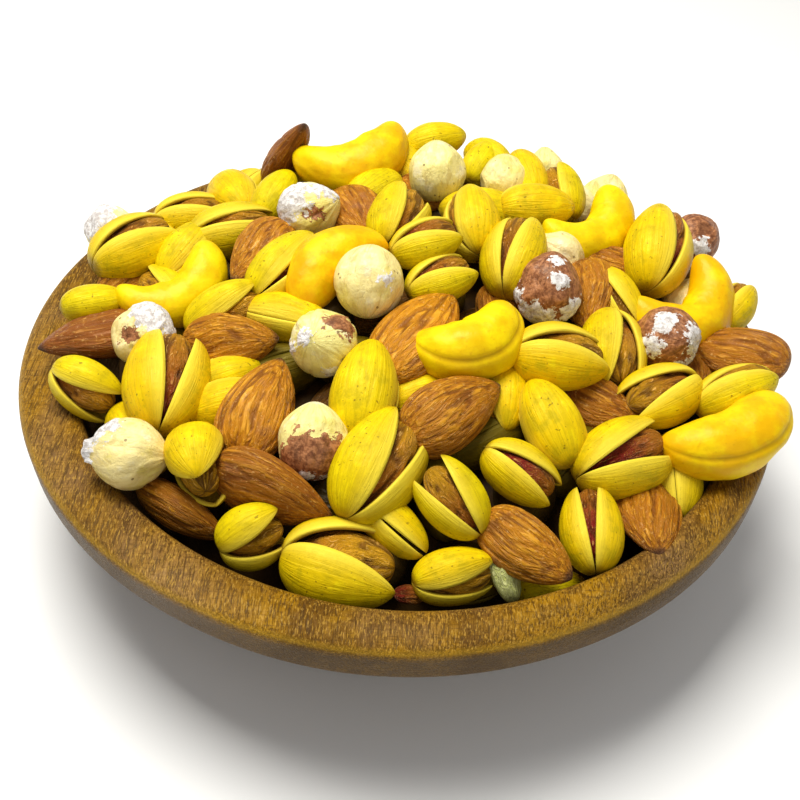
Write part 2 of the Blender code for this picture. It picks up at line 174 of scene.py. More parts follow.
RIM_HEIGHT = 38.0
HOLLOW_SHIFT = 1.5
INSET = 0.25                                    # keeps the waver inside the CAD's outline
BOWL_CORNERS = np.array([                       # radius, height, how far the hollow's shift counts
    (0, 0, 0), (43.2, 0, 0), (44.6, 0.8, 0), (77.9, 28.6, 0), (79.3, 30.0, 0), (80.0, 36.4, 0),
    (79.7, 37.2, 0), (78.6, 37.7, 0), (74.5, 38.0, 0.2), (71.4, 37.5, 1), (70.0, 36.8, 1),
    (69.4, 35.2, 1), (68.3, 30.0, 1), (65.6, 25.0, 1), (60.0, 20.0, 1), (54.0, 16.8, 1),
    (45.4, 14.0, 1), (35.5, 12.0, 1), (20.0, 10.5, 1), (0, 10, 1)])


def make_bowl(steps=320, sides=256):
    """Profile (radius, height) carried round the upright axis: x = r cos a + shift, y = r sin a.

    The corners are joined by straight lines and rounded with a running mean over three steps.
    The radius and height waver by a fraction of a millimetre, as hand work does. The outer edge
    is worn down at the front right, by 1.4 exp(-(a / 24 degrees)^2) mm for a from its middle.
    """
    run = np.concatenate([[0.0], np.cumsum(np.hypot(*np.diff(BOWL_CORNERS[:, :2], axis=0).T))])
    even = np.linspace(0.0, run[-1], steps)
    profile = np.stack([np.interp(even, run, column) for column in BOWL_CORNERS.T], -1)
    padded = np.concatenate([profile[:1], profile, profile[-1:]])
    profile = np.mean([padded[i:i + steps] for i in range(3)], 0)
    profile[0, 0] = profile[-1, 0] = 0.0
    radius, height, share = profile[:, None, :].transpose(2, 0, 1)
    angle = np.linspace(0.0, 2.0 * math.pi, sides, endpoint=False)[None]
    waver = soft_noise(joined(2.2 * np.cos(angle) + 40.0, 2.2 * np.sin(angle), height / 16.0), 3)
    lift = soft_noise(joined(2.4 * np.cos(angle), 2.4 * np.sin(angle) + 20.0, radius / 30.0), 4)
    reach = radius + 0.40 * waver * np.clip(radius / 60.0, 0.0, 1.0)
    reach = reach - INSET * np.clip(radius / 75.0, 0.0, 1.0)
    worn = np.exp(-((angle - math.radians(308.0)) / math.radians(24.0)) ** 2)
    worn = worn * np.clip((height - 33.0) / 4.0, 0.0, 1.0) * np.clip((radius - 75.0) / 4.0, 0.0, 1.0)
    x = (reach - worn) * np.cos(angle) + HOLLOW_SHIFT * share
    y = (reach - worn) * np.sin(angle)
    z = height + (0.35 * lift - INSET) * np.clip(height / 30.0, 0.0, 1.0) - 1.4 * worn
    grid = joined(x, y, z).reshape(-1, 3) * MM
    kept, triangles = closed_grid(steps, sides)
    # Near the outer ridge, where the wood paints a paler line: partly wear, partly painted highlight.
    ridge = np.exp(-(np.hypot(radius - 79.6, height - 37.1) / 0.5) ** 2)
    # Inside the rim, below its top: the wood paints painted shade here.
    hollow = share * np.clip((37.2 - height) / 2.0, 0.0, 1.0)
    values = {key: np.broadcast_to(value, (steps, sides)).reshape(-1)[kept][None]
              for key, value in (("ridge", ridge), ("hollow", hollow))}
    return make_piece("carved_bowl", grid[kept][None], triangles, values)


def add_node(tree, kind, settings=(), inputs=()):
    """A shader node with its settings and its inputs: plain values, or sockets to join on."""
    node = tree.nodes.new(kind)
    for key, value in dict(settings).items():
        setattr(node, key, value)
    for key, value in dict(inputs).items():
        if isinstance(value, bpy.types.NodeSocket):
            tree.links.new(value, node.inputs[key])
        elif isinstance(value, tuple) and len(value) == 3 and node.inputs[key].type == "RGBA":
            node.inputs[key].default_value = (*value, 1.0)
        else:
            node.inputs[key].default_value = value
    return node


def new_group(name, inputs, outputs):
    """A node group with named sockets; inputs and outputs are (name, socket type, default)."""
    tree = bpy.data.node_groups.new(name, "ShaderNodeTree")
    for direction, sockets in (("INPUT", inputs), ("OUTPUT", outputs)):
        for label, kind, default in sockets:
            socket = tree.interface.new_socket(label, in_out=direction, socket_type=kind)
            if default is not None:
                socket.default_value = default
    return tree, tree.nodes.new("NodeGroupInput"), tree.nodes.new("NodeGroupOutput")


def mix_color(tree, share, first, second):
    """Colour output of a Mix node between two colours."""
    node = add_node(tree, "ShaderNodeMix", {"data_type": "RGBA"})
    for index, value in ((0, share), (6, first), (7, second)):
        if isinstance(value, bpy.types.NodeSocket):
            tree.links.new(value, node.inputs[index])
        else:
            node.inputs[index].default_value = (*value, 1.0) if isinstance(value, tuple) else value
    return node.outputs[2]


def calculate(tree, operation, first, second=0.0):
    """Output of a Math node."""
    return add_node(tree, "ShaderNodeMath", {"operation": operation}, {0: first, 1: second}).outputs[0]


def times(tree, first, second):
    """One value times another."""
    return calculate(tree, "MULTIPLY", first, second)


def spread(tree, value, low, high, to_low=0.0, to_high=1.0):
    """Output of a Map Range node, smooth between low and high."""
    inputs = {"Value": value, "From Min": low, "From Max": high, "To Min": to_low, "To Max": to_high}
    return add_node(tree, "ShaderNodeMapRange", {"interpolation_type": "SMOOTHSTEP"}, inputs).outputs[0]


def wash(tree, tone, value, low, high, share, color):
    """The tone with a colour laid over it: none where the value is low, a share of it where high."""
    return mix_color(tree, spread(tree, value, low, high, 0.0, share), tone, color)


def make_streaks():
    """Group: lines drawn out along one axis of the incoming vector, as in fibres and nut skins."""
    tree, given, put = new_group(
        "drawn_out_lines",
        [("Vector", "NodeSocketVector", None), ("Scale", "NodeSocketFloat", 5.0),
         ("Detail", "NodeSocketFloat", 3.0), ("Waver", "NodeSocketFloat", 0.4)],
        [("Lines", "NodeSocketFloat", None), ("Height", "NodeSocketFloat", None)])
    noise = add_node(tree, "ShaderNodeTexNoise", {}, {
        "Vector": given.outputs["Vector"], "Scale": given.outputs["Scale"],
        "Detail": given.outputs["Detail"], "Distortion": given.outputs["Waver"], "Roughness": 0.6})
    lines = spread(tree, noise.outputs["Fac"], 0.34, 0.66)
    fine = add_node(tree, "ShaderNodeTexNoise", {}, {
        "Vector": given.outputs["Vector"], "Detail": 2.0, "Roughness": 0.5,
        "Scale": times(tree, given.outputs["Scale"], 3.1)})
    height = calculate(tree, "MULTIPLY_ADD", fine.outputs["Fac"], 0.4)
    tree.links.new(lines, height.node.inputs[2])
    tree.links.new(lines, put.inputs["Lines"])
    tree.links.new(height, put.inputs["Height"])
    return tree


def new_material(name, roughness, gloss, tint):
    """A Principled material, its tree and its shader; the tint colours its gloss."""
    material = bpy.data.materials.new(name)
    material.use_nodes = True
    shader = material.node_tree.nodes["Principled BSDF"]
    shader.inputs["Roughness"].default_value = roughness
    shader.inputs["Specular IOR Level"].default_value = gloss
    shader.inputs["Specular Tint"].default_value = (*tint, 1.0)
    return material, material.node_tree, shader


def join_bump(tree, shader, height, distance, strength=1.0):
    """Bump from a height into the shader's normal; distance is in metres."""
    bump = add_node(tree, "ShaderNodeBump", {}, {
        "Height": height, "Distance": distance, "Strength": strength})
    tree.links.new(bump.outputs["Normal"], shader.inputs["Normal"])


drawn_out_lines = make_streaks()


def read(tree, name, output="Fac"):
    """A value kept with the vertices, as laid down when the piece was made."""
    return add_node(tree, "ShaderNodeAttribute", {"attribute_name": name}).outputs[output]


def stain(tree, tone, name, share, color):
    """The tone with a colour laid over it, by a share of the value of that name."""
    return mix_color(tree, times(tree, read(tree, name), share), tone, color)


def clouds(tree, place, scale, detail, roughness=0.5):
    """Smooth noise at a place, from 0 to 1."""
    inputs = {"Vector": place, "Scale": scale, "Detail": detail, "Roughness": roughness}
    return add_node(tree, "ShaderNodeTexNoise", {}, inputs).outputs["Fac"]


def grain_lines(tree, scale, detail, waver):
    """Lines and height of the group above, along the grain kept with the vertices."""
    inputs = {"Vector": read(tree, "grain", "Vector"), "Scale": scale, "Detail": detail, "Waver": waver}
    drawn = add_node(tree, "ShaderNodeGroup", {"node_tree": drawn_out_lines}, inputs)
    return drawn.outputs["Lines"], drawn.outputs["Height"]


def make_wood():
    """Golden brown with mottled patches, a painted sheen, fine pores along Y crossed by faint marks, painted
    shade on the wall.
    """
    material, tree, shader = new_material("oiled_wood", 0.46, 0.38, (1.0, 0.74, 0.34))
    place = add_node(tree, "ShaderNodeTexCoord").outputs["Object"]

    def drawn(x, y, z):
        scale = {"Vector": place, "Scale": (x, y, z)}
        return add_node(tree, "ShaderNodeMapping", {}, scale).outputs["Vector"]

    def noise(scale, detail, waver=0.0):
        inputs = {"Vector": drawn(*scale), "Scale": 1.0, "Detail": detail, "Roughness": 0.62,
                  "Distortion": waver}
        return add_node(tree, "ShaderNodeTexNoise", {}, inputs).outputs["Fac"]

    broad = noise((52.0, 22.0, 52.0), 5.0, 0.6)
    painted_sheen = noise((34.0, 24.0, 34.0), 3.0)
    mottle = noise((380.0, 240.0, 380.0), 5.0, 0.8)
    fleck = noise((3600.0, 700.0, 3600.0), 2.0)
    crossing = noise((340.0, 2600.0, 900.0), 2.0)
    pores = add_node(tree, "ShaderNodeGroup", {"node_tree": drawn_out_lines}, {
        "Vector": drawn(2700.0, 170.0, 2700.0), "Scale": 1.0, "Detail": 3.0, "Waver": 0.25})
    tone = mix_color(tree, spread(tree, broad, 0.34, 0.64), (0.13, 0.054, 0.003), (0.33, 0.158, 0.003))
    tone = wash(tree, tone, mottle, 0.50, 0.34, 0.65, (0.10, 0.042, 0.003))
    tone = wash(tree, tone, mottle, 0.52, 0.68, 0.45, (0.42, 0.215, 0.006))
    # painted sheen: greyish purple patches stand in for the oiled rim's satin reflection
    tone = wash(tree, tone, painted_sheen, 0.48, 0.68, 0.62, (0.225, 0.125, 0.055))
    tone = wash(tree, tone, pores.outputs["Lines"], 0.48, 0.05, 0.78, (0.045, 0.016, 0.002))
    tone = wash(tree, tone, crossing, 0.48, 0.32, 0.60, (0.075, 0.030, 0.003))
    tone = wash(tree, tone, fleck, 0.53, 0.66, 0.55, (0.56, 0.32, 0.05))
    height = add_node(tree, "ShaderNodeSeparateXYZ", {}, {"Vector": place}).outputs["Z"]
    # painted shade: below the rim the wall is darkened to a dull grey brown
    tone = wash(tree, tone, height, 0.0368, 0.0345, 0.74, (0.066, 0.042, 0.025))
    # partly wear, partly painted highlight: the outer ridge of the rim is painted paler gold
    tone = stain(tree, tone, "ridge", 0.55, (0.46, 0.26, 0.015))
    # painted shade: the hollow below the rim, under the nuts, is darkened almost to black
    tone = stain(tree, tone, "hollow", 0.85, (0.016, 0.007, 0.002))
    tree.links.new(tone, shader.inputs["Base Color"])
    tree.links.new(spread(tree, broad, 0.3, 0.7, 0.54, 0.38), shader.inputs["Roughness"])
    relief = calculate(tree, "ADD", pores.outputs["Height"], times(tree, mottle, 0.8))
    join_bump(tree, shader, relief, 0.00018, 0.8)
    return material


carved_bowl = make_bowl()
carved_bowl.data.materials.append(make_wood())
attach(carved_bowl, "root")
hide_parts("bowl")


# How the nuts lie: they were tipped into the bowl and settled at all angles, higher at the back.
# Places are millimetres, x to the right, y to the back, z above the rim.
TOWARDS_FRONT = np.array([0.0, -0.74, 0.67])    # a nut with no turn shows its face this way
HEAP_EDGE, HEAP_CROWN, HEAP_LEAN, HEAP_RADIUS = 2.7, 13.3, 8.0, 68.0

# Hinge end, open end, turn of the split, spread of the shells in degrees, redness of the kernel.
PISTACHIOS = [
    (-46, 50, 5.5, -37, 33, 9.5, 90, 0, 0), (-34, 29, 10, -28, 44, 13.5, 90, 0, 0),
    (-59, 32, 5, -42, 37, 7, -35, 16, .4), (-49, 21.5, 8, -30, 28, 11, -20, 12, .4),
    (-68, 11, 7, -53, 26, 9, -30, 20, .5), (-46, 3, 3, -58, 12, 5, 0, 24, .2),
    (-71, -5, 8, -58, 1, 7, 90, 0, 0), (-68, -22, 7, -55, -27, 1, 25, 34, .45),
    (-45, -36, 4, -45, -13, 10, 20, 22, .6), (-44, -9, 7, -29, -2, 13, 25, 20, .3),
    (-41, -23, 4, -27, -17, 6, 90, 0, 0), (-40, -30, 4, -24, -25, 6, 90, 0, 0),
    (-38, -36, 4, -33, -51, 4, 90, 38, .1), (-30.5, -57, -3.5, -18.5, -53, -.5, 25, 38, .1),
    (-7, -38, 7, -5, -16, 13, 75, 4, 0), (-31, -3, 12, -19, 14, 16, 15, 10, .7),
    (-5, 14, 15, 1, 32, 18, 20, 26, .3), (-3, 8, 17, 11, 14, 21, -42, 24, .7),
    (1, -1, 14, 14, 7, 17, -42, 28, .6), (16, 13, 15, 12, 32, 19, -50, 14, .3),
    (20, 32, 15, 38, 36, 14, 90, 0, 0), (21, 1, 14, 25, 21, 20, -25, 16, .5),
    (53, 12, 9, 59, 34, 16, 25, 15, .8), (69, 6, 5, 76, 18, 8, -40, 14, .5),
    (42, 14, 12, 49, -1, 9, 10, 8, .2), (22, -16, 12, 42, -13, 10, -42, 20, .25),
    (43, 2, 10, 45, -17, 6, -30, 24, .4), (60, -20, 4, 76, -13, 9, -60, 10, .3),
    (61, -13, 5, 45, -23, 6, 35, 24, .45), (34, -38, 4, 26, -21, 10, 100, 0, 0),
    (22, -14, 7, 21, -30, 4, 60, 8, .3), (-2, -27, 6, 12, -21, 8, 90, 0, 0),
    (-8, -53, 2, 3, -33, 9, 20, 22, .45), (17, -53, 0, 6, -44, 8, 0, 28, .4),
    (17, -38, 7, 31, -44, 2, -25, 20, 1.0), (35, -40, 3, 53, -29, 4, -15, 26, .9),
    (38, -58, -3, 37, -41, 2, -10, 15, .95), (5, -61, -5, 20, -57, -5, 25, 22, .1),
    (-19, -58, -4, 3, -59, -4, -48, 34, .15), (-5, -47, 1, 7, -56, -3, 0, 3, 0),
    (24, -58, -11, 38, -54, -11, 90, 0, 0), (-2, 60, 13, 13, 66, 14, 90, 0, 0),
    (14, 64, 11, 24, 52, 13, 60, 10, .3), (14, 48, 12, 20, 62, 14, 90, 0, 0),
    (29, 38, 13, 25, 54, 17, 90, 0, 0), (38, 36, 11, 33, 50, 16, -25, 20, .3)]

# Broad end, pointed end, turn of the flat face, darkness of the skin from 0 to 1.
ALMONDS = [
    (-34, 54, 5, -25.3, 47.5, 24.5, 90, .9), (-52, -2, 3, -73, -16, 6, 60, 1.),
    (-44, -13, 5, -24, -15, 12, 10, .15), (-29, -41, 3, -23, -20, 11, 0, .1),
    (-48, -42, -5, -30, -53, -5, 60, .5), (-33, -43, 3, -10, -52, 1, 45, .65),
    (-26, 20, 15, -36, 2, 12, 10, .3), (-15, 35, 15, -7, 14, 15, -15, .5),
    (-3, -24, 11, 10, -1, 15, -20, .0), (39, 17, 12, 39, -4, 10, 30, .3), (58, 4, 2, 62, -15, 2, 0, .5),
    (80, -9, 8, 60, 2, 4, 35, .5), (33, -16, 4, 49, -25, 3, 0, .5), (2, -38, 8, 20, -24, 11, 5, .35),
    (17, -50, 1, 33, -62, 0, 10, .2), (48, -33, -3, 49.5, -55, -.5, -10, .45),
    (20, 10, 10, 21, -8, 9, 0, .6), (-3, 46, 11, 8, 36, 12, 0, .4)]

# Centres of the two lobes, turn, bulge to the left of the way, thickness, taper to the end lobe.
CASHEWS = [
    (-23, 45, 16, -6, 53, 18, -20, -4.5, 11.8, .12), (-43, 10, 11, -56, -1, 8, 0, 5.0, 10.2, -.14),
    (-19, -2, 15, -9, 9, 18, -15, 2.5, 11.4, -.1), (8, -18, 14, 19, -11, 15, -30, -3.0, 12.2, .03),
    (34, 24, 14, 46, 36, 15, 0, -5.4, 10.4, .16), (52, 2, 10, 66, 15, 12, 0, -7.3, 10.8, .0),
    (57, -32, 5, 72, -24, 7, -30, -2.5, 12.4, .10)]

# Centre, diameter, heading of the point from +X and its rise in degrees.
HAZELNUTS = [
    (-22, 23, 17, 13.0, 0, 30), (-67, 25, 7, 11.6, 120, 40), (-52, -13, 8, 12.8, 60, 50),
    (-49, -43, 5, 13.5, 0, 0), (-15, -39, 7, 13.5, 90, 50), (-15, -17, 13, 13.6, 250, 40),
    (-7, -3, 18, 14.6, 90, 40), (6, 42, 17, 13.4, 100, 60), (66, 34, 8, 12.4, 40, 20),
    (30, 2, 15, 14.1, 80, 50), (55, -4, 9, 13.7, 300, 30), (22, 44, 15, 11.6, 90, 60),
    (32.4, 57, 10, 11.0, 90, 50), (47.8, 53.8, 5.5, 11.6, 60, 50)]


def heap_height(x, y):
    """Height above the rim of the nuts' centres: a dome that leans up to the back."""
    dome = 1.0 - (x * x + y * y) / HEAP_RADIUS ** 2
    return HEAP_EDGE + HEAP_CROWN * dome + HEAP_LEAN * y / HEAP_RADIUS


def nut_middles():
    """Middle of each nut in the tables."""
    middles = [((r[0] + r[3]) / 2.0, (r[1] + r[4]) / 2.0, (r[2] + r[5]) / 2.0)
               for r in PISTACHIOS + ALMONDS + CASHEWS]
    return middles + [r[0:3] for r in HAZELNUTS]


SKIRT_RADIUS, SKIRT_ROOM = 64.0, 7.6            # nuts against the rim, and the room they need
FILL_RADIUS, FILL_ROOM, FILL_SINK = 65.0, 11.5, 3.0
WALL_RADIUS = 56.0                              # beyond this a nut lies along the wall
MORE_LENGTH, MORE_HAZELNUT = 19.0, 12.5         # of the nuts that aren't in the tables


def filling_places():
    """Nuts against the rim, round the back and the sides, then nuts in the gaps.

    Each needs room to every other nut's middle, and lies lower than the nuts that show.
    """
    draw = random.Random(11)
    taken = nut_middles()
    places = []
    for i in range(18):
        bearing = math.radians(-25.0 + 13.0 * i)
        level = 2.0 + 2.5 * max(math.sin(bearing), 0.0)
        x, y = SKIRT_RADIUS * math.cos(bearing) + HOLLOW_SHIFT, SKIRT_RADIUS * math.sin(bearing)
        places.append((x, y, level, bearing + math.radians(90.0 + 25.0 * (-1) ** i), SKIRT_ROOM))
    for _ in range(3000):
        radius = FILL_RADIUS * math.sqrt(draw.random())
        bearing = draw.uniform(0.0, 2.0 * math.pi)
        heading = draw.uniform(0.0, 2.0 * math.pi)
        if radius > WALL_RADIUS:
            heading = bearing + math.radians(90.0) + 0.1 * heading
        x, y = radius * math.cos(bearing), radius * math.sin(bearing)
        places.append((x, y, heap_height(x, y) - FILL_SINK, heading, FILL_ROOM))
    rows = []
    for x, y, z, heading, room in places:
        if min(math.dist((x, y, z), other) for other in taken) < room:
            continue
        taken.append((x, y, z))
        rows.append((draw.random(), x, y, z, heading, draw.uniform(-180.0, 180.0)))
    return rows


def buried_places():
    """A second layer of nuts 9 mm lower, on a jittered grid 17 mm apart, seen through the gaps."""
    draw = random.Random(5)
    rows = []
    for i in range(-4, 5):
        for j in range(-4, 5):
            x = 17.0 * i + 8.5 * (j % 2) + draw.uniform(-3.0, 3.0)
            y = 14.0 * j + draw.uniform(-3.0, 3.0)
            share = draw.uniform(0.1, 1.1)
            heading, turn = draw.uniform(0.0, 2.0 * math.pi), draw.uniform(-180.0, 180.0)
            if math.hypot(x, y) < 58.0:
                rows.append((share, x, y, heap_height(x, y) - 9.0, heading, turn))
    return rows


def lay_more(rows):
    """Add nuts at the places drawn, each along the slope of the heap; share picks the kind."""
    for share, x, y, z, heading, turn in rows:
        dx, dy = MORE_LENGTH / 2.0 * math.cos(heading), MORE_LENGTH / 2.0 * math.sin(heading)
        dip = (heap_height(x + dx, y + dy) - heap_height(x - dx, y - dy)) / 2.0
        ends = (x - dx, y - dy, z - dip, x + dx, y + dy, z + dip, turn)
        if share < 0.6:
            PISTACHIOS.append((*ends, 0.0, 0.0))
        elif share < 0.85:
            ALMONDS.append((*ends, 2.0 * share - 1.2))
        else:
            HAZELNUTS.append((x, y, z, MORE_HAZELNUT, math.degrees(heading), 30.0))


lay_more(filling_places())
LAID = (len(PISTACHIOS), len(ALMONDS), len(CASHEWS), len(HAZELNUTS))
lay_more(buried_places())


def nut_ends(rows):
    """The rows as an array, both ends of each nut above the table, and its length, in mm."""
    rows = np.array(rows, float)
    start, end = rows[:, 0:3] + (0, 0, RIM_HEIGHT), rows[:, 3:6] + (0, 0, RIM_HEIGHT)
    return rows, start, end, np.linalg.norm(end - start, axis=1)[:, None, None]


def nut_axes(start, end, turn):
    """Axes of each nut as rows: along it, to its left, and out of its face.

    The face is TOWARDS_FRONT made square to the nut, then turned about the nut's length.
    """
    along = end - start
    along = along / np.linalg.norm(along, axis=-1, keepdims=True)
    face = TOWARDS_FRONT - along * (along @ TOWARDS_FRONT)[:, None]
    face = face / np.linalg.norm(face, axis=-1, keepdims=True)
    left = np.cross(face, along)
    cosine, sine = np.cos(np.radians(turn))[:, None], np.sin(np.radians(turn))[:, None]
    return along, left * cosine + face * sine, face * cosine - left * sine


def put_in_place(shape, center, axes):
    """Shape points, in millimetres along each nut's own axes, as points in the row's frame."""
    along, left, face = (axis[:, None, :] for axis in axes)
    x, y, z = (shape[..., i:i + 1] for i in range(3))
    return (center[:, None, :] + along * x + left * y + face * z) * MM


def on_points(value, grid, kept):
    """A value of each nut, spread over its grid of rings and columns, at the places kept."""
    full = np.broadcast_to(value, grid + value.shape[3:])
    return full.reshape(grid[0], grid[1] * grid[2], *value.shape[3:])[:, kept]


def place_nuts(shape, center, axes):
    """Points and triangles of the nuts of a kind, and a function that lays a value on them.

    shape is nuts x rings x columns x 3, in millimetres along each nut's own axes.
    """
    grid = shape.shape[:3]
    kept, triangles = closed_grid(*grid[1:])
    points = put_in_place(on_points(shape, grid, kept), center, axes)
    return points, triangles, lambda value: on_points(value, grid, kept)


def own_number(kind_seed, count):
    """A random number from 0 to 1 for each nut of a kind."""
    return np.random.default_rng(kind_seed).random(count)[:, None, None]


def laid_depth(count, laid):
    """0 for nuts that show, 1 for those of the second layer."""
    return (np.arange(count) >= laid).astype(float)[:, None, None]


# The bed of nuts: what lies under the nuts that show. Seen only through the gaps, it is painted
# dark brown as the shade there; it fills the hollow to just above the bowl's floor and follows the heap.
def make_bed(rings=44, sides=120):
    """A lumpy closed body: the heap's dome 12 mm lower, 18 at its edge, and the hollow below.

    The lumps are the larger of two smooth noises, each drawn out like a nut.
    """
    under = np.array([(64.5, 12.0), (64.0, 2.0), (61.5, -13.0), (51.0, -21.0), (33.0, -25.5), (0.0, -26.5)])
    radius = np.concatenate([np.linspace(0.0, 64.0, rings), under[:, 0]])[:, None]
    angle = np.linspace(0.0, 2.0 * math.pi, sides, endpoint=False)[None]
    x, y = np.broadcast_arrays(radius * np.cos(angle), radius * np.sin(angle))
    top = heap_height(x, y) - 12.0 - 6.0 * (radius / 64.0) ** 6
    lumps = np.maximum(
        soft_noise(joined(x / 9.0, y / 6.0, 0.0), 21), soft_noise(joined(x / 6.0, y / 9.0, 5.0), 22))
    z = top + 2.4 * lumps
    z[rings:] = np.minimum(under[:, 1:2], z[rings - 1])
    grid = joined(x + HOLLOW_SHIFT, y, z + RIM_HEIGHT).reshape(-1, 3) * MM
    kept, triangles = closed_grid(rings + len(under), sides)
    return make_piece("nut_bed", grid[kept][None], triangles, {})


def make_painted_shade_bed():
    """Near-black browns, mottled: painted shade between the nuts."""
    material, tree, shader = new_material("painted_shade_nuts", 0.7, 0.2, (1.0, 0.9, 0.8))
    place = add_node(tree, "ShaderNodeTexCoord").outputs["Object"]
    mottle = clouds(tree, place, 160.0, 4.0)
    share = spread(tree, mottle, 0.35, 0.65)
    tone = mix_color(tree, share, (0.022, 0.009, 0.002), (0.07, 0.032, 0.004))
    tree.links.new(tone, shader.inputs["Base Color"])
    join_bump(tree, shader, mottle, 0.0006)
    return material


nut_bed = make_bed()
nut_bed.data.materials.append(make_painted_shade_bed())
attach(nut_bed, "root")
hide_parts("nut_heap")


# Pistachio shells: two thin hard half shells, joined at the stem end and sprung apart at the tip.
# Roasted and coated in saffron, they are smooth, with faint lines along them and paler edges.
SHELL_THICKNESS = 0.8
BROAD_SHELLS = {12: 1.25, 13: 1.32, 38: 1.08}   # number of the nut, times the usual width


def egg_outline(t, blunt, sharp):
    """Half width along a nut, 1 at its widest: t^blunt (1 - t)^sharp, over its largest value."""
    widest = blunt / (blunt + sharp)
    return t ** blunt * (1.0 - t) ** sharp / (widest ** blunt * (1.0 - widest) ** sharp)


def make_shells(rows, rings=24, outer=16, inner=8):
    """Both half shells of every pistachio in one mesh.

    A half shell is a loop carried from the stem to the tip: round its outside, where
    y = width cos p and z = height sin p for p from -90 to 90 degrees, and back round its inside,
    one wall's thickness nearer. Each half is turned about the stem by part of the spread.
    """
    rows, start, end, length = nut_ends(rows)
    girth = length * np.array([BROAD_SHELLS.get(i, 1.0) for i in range(len(rows))])[:, None, None]
    number = own_number(31, len(rows))
    opened = np.clip(rows[:, 7] / 16.0, 0.0, 1.0)[:, None, None]
    t = (1.0 - np.cos(np.linspace(0.0, math.pi, rings)))[None, :, None] / 2.0
    sweep = np.linspace(-1.0, 1.0, outer)
    sweep = np.sign(sweep) * (1.0 - (1.0 - np.abs(sweep)) ** 1.35)
    p = np.radians(90.0) * np.concatenate([sweep, np.linspace(1.0, -1.0, inner)])[None, None, :]
    inside = np.concatenate([np.zeros(outer), np.ones(inner)])[None, None, :]
    wall = SHELL_THICKNESS * inside
    angle = np.radians(rows[:, 7])[:, None, None] * 0.42
    shells = []
    for side in (1.0, -1.0):
        uneven = soft_noise(joined(
            2.6 * t + 40.0 * number + 5.0 * side, 1.3 * np.cos(p), 1.3 * np.sin(p) + 9.0 * number), 32)
        swell = 1.0 + 0.045 * (1.0 - inside) * uneven
        width = (0.265 + 0.025 * number) * girth * egg_outline(t, 0.50, 0.56 + 0.12 * opened) * swell
        height = (0.280 + 0.025 * number) * girth * egg_outline(t, 0.46, 0.58 + 0.10 * opened) * swell
        x = wall + t * (length - 1.6 * wall)
        y = np.maximum(width - wall, 0.02) * np.cos(p) + 0.05
        z = np.maximum(height - wall, 0.02) * np.sin(p)
        x, y = x * np.cos(angle) - y * np.sin(angle), x * np.sin(angle) + y * np.cos(angle)
        shells.append(joined(x - length / 2.0, side * y, z))
    columns = outer + inner
    merge = np.where(np.arange(columns) < outer, 0, outer)
    kept, triangles = closed_grid(rings, columns, merge, merge)
    center, axes = (start + end) / 2.0, nut_axes(start, end, rows[:, 6])
    points = np.concatenate([
        put_in_place(shell.reshape(len(rows), -1, 3)[:, kept], center, axes) for shell in shells])

    def per_vertex(value):
        full = on_points(value, (len(rows), rings, columns), kept)
        return np.concatenate([full, full])

    grain = joined(np.cos(p) + 7.0 * number, np.sin(p), 0.25 * t + 11.0 * number)
    values = {"grain": per_vertex(grain), "tone": per_vertex(number), "inner": per_vertex(inside),
              "edge": per_vertex(np.abs(np.sin(p)) ** 14), "along": per_vertex(t),
              "deep": per_vertex(laid_depth(len(rows), LAID[0]))}
    return make_piece("pistachio_shells", points, triangles, values)


def make_shell_finish():
    """Saffron yellow from lime to gold, olive lines and clouds, ochre seams with a pale lip."""
    material, tree, shader = new_material("saffron_shell", 0.45, 0.36, (1.0, 0.84, 0.30))
    place = add_node(tree, "ShaderNodeTexCoord").outputs["Object"]
    cloud = clouds(tree, place, 260.0, 5.0, 0.65)
    speck = clouds(tree, place, 1300.0, 1.0)
    lines, ridges = grain_lines(tree, 5.5, 5.0, 1.6)
    tone = mix_color(tree, read(tree, "tone"), (0.72, 0.575, 0.001), (0.82, 0.53, 0.001))
    tone = wash(tree, tone, cloud, 0.50, 0.34, 0.65, (0.46, 0.36, 0.001))
    tone = wash(tree, tone, cloud, 0.50, 0.68, 0.65, (0.93, 0.74, 0.004))
    tone = wash(tree, tone, lines, 0.45, 0.0, 0.36, (0.38, 0.28, 0.001))
    tone = wash(tree, tone, speck, 0.68, 0.76, 0.7, (0.16, 0.08, 0.002))
    seam = times(tree, calculate(tree, "POWER", read(tree, "edge"), 0.35), 0.50)
    tone = mix_color(tree, seam, tone, (0.56, 0.33, 0.002))
    tone = stain(tree, tone, "edge", 0.75, (0.92, 0.74, 0.06))
    # painted shade: the inner faces of the half shells, shaded inside the open shell, are darkened to brown
    tone = stain(tree, tone, "inner", 0.7, (0.40, 0.23, 0.03))
    tone = wash(tree, tone, read(tree, "along"), 0.06, 0.0, 0.75, (0.30, 0.16, 0.003))
    tone = wash(tree, tone, read(tree, "along"), 0.93, 1.0, 0.45, (0.42, 0.24, 0.003))
    # painted shade: shells of the second layer are darkened almost to black
    tone = stain(tree, tone, "deep", 0.88, (0.035, 0.020, 0.001))
    tree.links.new(tone, shader.inputs["Base Color"])
    tree.links.new(spread(tree, cloud, 0.3, 0.7, 0.54, 0.36), shader.inputs["Roughness"])
    height = calculate(tree, "ADD", times(tree, ridges, 0.35), cloud)
    join_bump(tree, shader, height, 0.00030, 0.7)
    return material


pistachio_shells = make_shells(PISTACHIOS)
pistachio_shells.data.materials.append(make_shell_finish())
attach(pistachio_shells, "root")


# Pistachio kernels: the seed inside each open shell, with a thin crinkled skin that runs from
# dark crimson at the stem end to orange and gold at the mouth. Two lie loose at the front.
LOOSE_KERNELS = [(19, -51, -2, 24, -62, -9, 0, 12, -.4), (1, -63, -6, 8, -61, -8, 60, 6, .75)]


